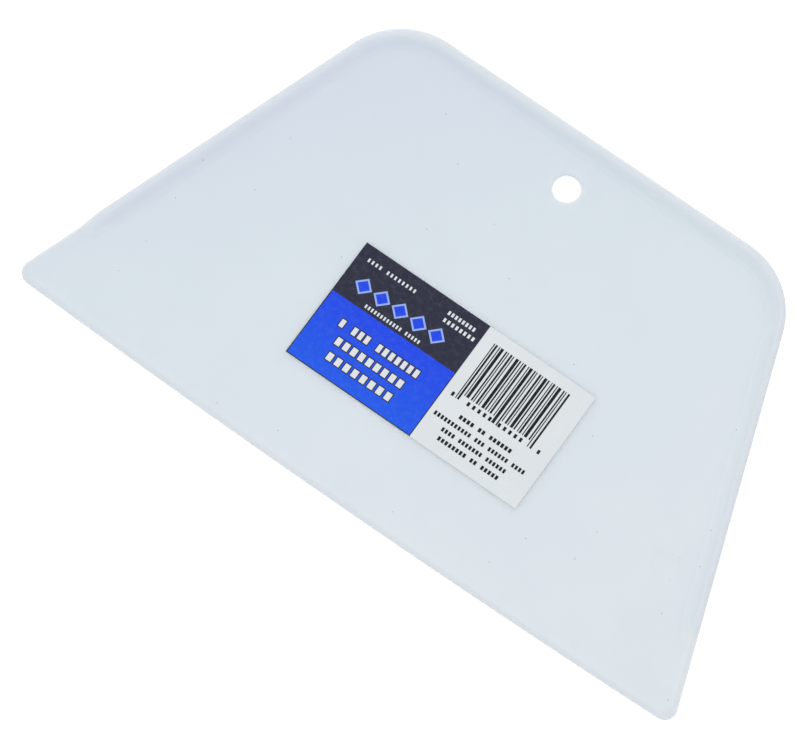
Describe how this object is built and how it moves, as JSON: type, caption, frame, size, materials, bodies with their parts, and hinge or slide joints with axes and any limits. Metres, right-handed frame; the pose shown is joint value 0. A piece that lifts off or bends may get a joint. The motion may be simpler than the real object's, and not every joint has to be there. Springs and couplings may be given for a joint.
{
  "type": "squeegee applicator",
  "caption": "Flat trapezoidal plastic smoothing blade with a thin straight working edge, a raised rim on its other sides, a hanging hole and a rectangular printed label.",
  "frame": {"origin": "on the flat back, in the middle of the blade's length and width", "axes": "+X along the working edge, to the right with the label facing the viewer; +Y from the working edge to the hand edge; +Z out of the labelled front"},
  "size_m": [0.2098, 0.1204, 0.0038],
  "materials": {
    "blade_plastic": "translucent white, satin",
    "adhesive": "clear, tacky",
    "label_paper": "coated, semi-gloss",
    "dark_ink": "semi-gloss print",
    "blue_ink": "semi-gloss print",
    "light_blue_ink": "semi-gloss print",
    "black_ink": "semi-gloss print"
  },
  "bodies": {
    "root": {"blade": "blade_plastic", "label_adhesive": "adhesive", "label_face": "label_paper", "print_dark": "dark_ink", "print_blue": "blue_ink", "print_light_blue": "light_blue_ink", "print_black": "black_ink"}
  },
  "joints": []
}
